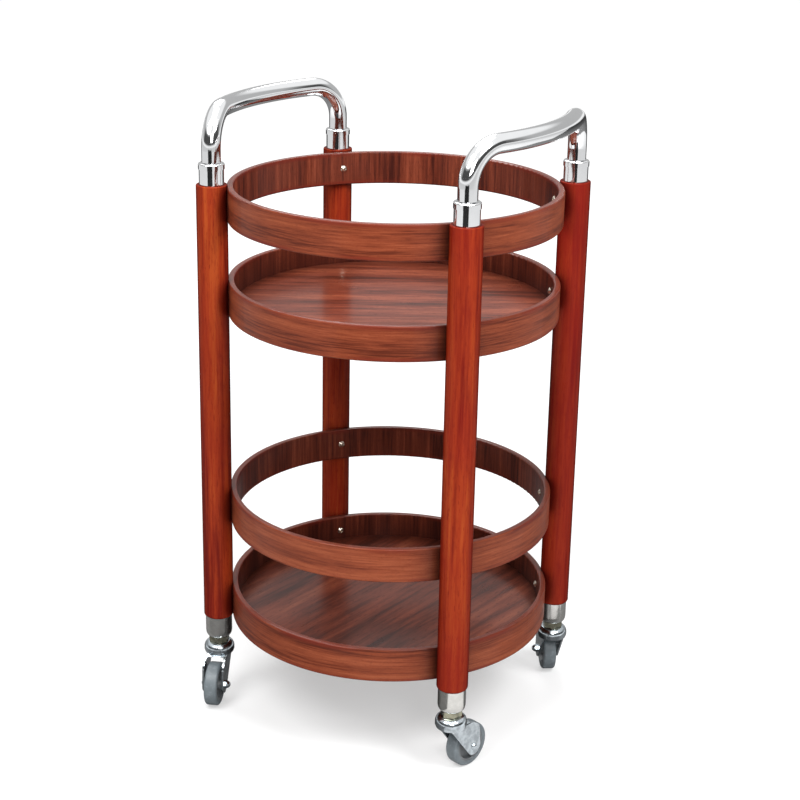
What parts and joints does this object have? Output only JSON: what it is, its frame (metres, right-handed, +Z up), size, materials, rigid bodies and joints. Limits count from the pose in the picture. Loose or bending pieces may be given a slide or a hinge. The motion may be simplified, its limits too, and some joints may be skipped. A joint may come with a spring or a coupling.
{
  "type": "serving cart",
  "caption": "Round tiered serving cart: bentwood trays under bentwood guard rails on turned posts, with bowed tube push handles and swivel casters, for carrying food and drink.",
  "frame": {"origin": "on the floor under the middle of the trays", "axes": "+Z up; the handles stand on the -X and +X sides, their bridges running along Y"},
  "size_m": [0.465, 0.44, 0.8399],
  "materials": {
    "post_wood": "gloss lacquer over red mahogany stain",
    "hoop_wood": "satin lacquer, grain along the bend outside",
    "board_wood": "gloss lacquer over rosewood-like grain",
    "chrome": "bright plated tube",
    "satin_steel": "satin nickel plate",
    "zinc_steel": "bright zinc plate on stamped steel",
    "nut_zinc": "yellowish passivated zinc",
    "ball_steel": "ground steel",
    "screw_steel": "nickel plate",
    "insert_brass": "turned brass",
    "hub_plastic": "moulded grey",
    "tyre_rubber": "moulded grey rubber"
  },
  "bodies": {
    "cart": {"post_front_left": "post_wood", "collar_front_left": "chrome", "ferrule_front_left": "satin_steel", "caster_stem_front_left": "zinc_steel", "bearing_cap_front_left": "zinc_steel", "post_front_right": "post_wood", "collar_front_right": "chrome", "ferrule_front_right": "satin_steel", "caster_stem_front_right": "zinc_steel", "bearing_cap_front_right": "zinc_steel", "post_back_right": "post_wood", "collar_back_right": "chrome", "ferrule_back_right": "satin_steel", "caster_stem_back_right": "zinc_steel", "bearing_cap_back_right": "zinc_steel", "post_back_left": "post_wood", "collar_back_left": "chrome", "ferrule_back_left": "satin_steel", "caster_stem_back_left": "zinc_steel", "bearing_cap_back_left": "zinc_steel", "lower_tray_rim": "hoop_wood", "screws_lower_tray_rim": "screw_steel", "lower_rail": "hoop_wood", "screws_lower_rail": "screw_steel", "upper_tray_rim": "hoop_wood", "screws_upper_tray_rim": "screw_steel", "upper_rail": "hoop_wood", "screws_upper_rail": "screw_steel", "upper_tray_board": "board_wood", "lower_tray_board": "board_wood", "handle_left": "chrome", "handle_right": "chrome", "threaded_inserts": "insert_brass", "lock_nuts": "nut_zinc"},
    "caster_front_left": {"fork_front_left": "zinc_steel", "bearing_balls_front_left": "ball_steel", "axle_bolt_front_left": "zinc_steel", "axle_nut_front_left": "zinc_steel"},
    "wheel_front_left": {"wheel_hub_front_left": "hub_plastic", "tyre_front_left": "tyre_rubber"},
    "caster_front_right": {"fork_front_right": "zinc_steel", "bearing_balls_front_right": "ball_steel", "axle_bolt_front_right": "zinc_steel", "axle_nut_front_right": "zinc_steel"},
    "wheel_front_right": {"wheel_hub_front_right": "hub_plastic", "tyre_front_right": "tyre_rubber"},
    "caster_back_right": {"fork_back_right": "zinc_steel", "bearing_balls_back_right": "ball_steel", "axle_bolt_back_right": "zinc_steel", "axle_nut_back_right": "zinc_steel"},
    "wheel_back_right": {"wheel_hub_back_right": "hub_plastic", "tyre_back_right": "tyre_rubber"},
    "caster_back_left": {"fork_back_left": "zinc_steel", "bearing_balls_back_left": "ball_steel", "axle_bolt_back_left": "zinc_steel", "axle_nut_back_left": "zinc_steel"},
    "wheel_back_left": {"wheel_hub_back_left": "hub_plastic", "tyre_back_left": "tyre_rubber"}
  },
  "joints": [
    {"name": "swivel_front_left", "type": "hinge", "parent": "cart", "child": "caster_front_left", "pos_m": [-0.1873, -0.14845, 0.07], "axis": [0, 0, 1], "continuous": true},
    {"name": "wheel_spin_front_left", "type": "hinge", "parent": "caster_front_left", "child": "wheel_front_left", "pos_m": [-0.17558, -0.17607, 0.03], "axis": [0.9205, 0.3907, 0], "continuous": true},
    {"name": "swivel_front_right", "type": "hinge", "parent": "cart", "child": "caster_front_right", "pos_m": [0.1873, -0.14845, 0.07], "axis": [0, 0, 1], "continuous": true},
    {"name": "wheel_spin_front_right", "type": "hinge", "parent": "caster_front_right", "child": "wheel_front_right", "pos_m": [0.19456, -0.11935, 0.03], "axis": [-0.9703, 0.2419, 0], "continuous": true},
    {"name": "swivel_back_right", "type": "hinge", "parent": "cart", "child": "caster_back_right", "pos_m": [0.1873, 0.14845, 0.07], "axis": [0, 0, 1], "continuous": true},
    {"name": "wheel_spin_back_right", "type": "hinge", "parent": "caster_back_right", "child": "wheel_back_right", "pos_m": [0.16967, 0.17272, 0.03], "axis": [-0.809, -0.5878, 0], "continuous": true},
    {"name": "swivel_back_left", "type": "hinge", "parent": "cart", "child": "caster_back_left", "pos_m": [-0.1873, 0.14845, 0.07], "axis": [0, 0, 1], "continuous": true},
    {"name": "wheel_spin_back_left", "type": "hinge", "parent": "caster_back_left", "child": "wheel_back_left", "pos_m": [-0.19507, 0.17743, 0.03], "axis": [-0.9659, -0.2588, 0], "continuous": true}
  ]
}
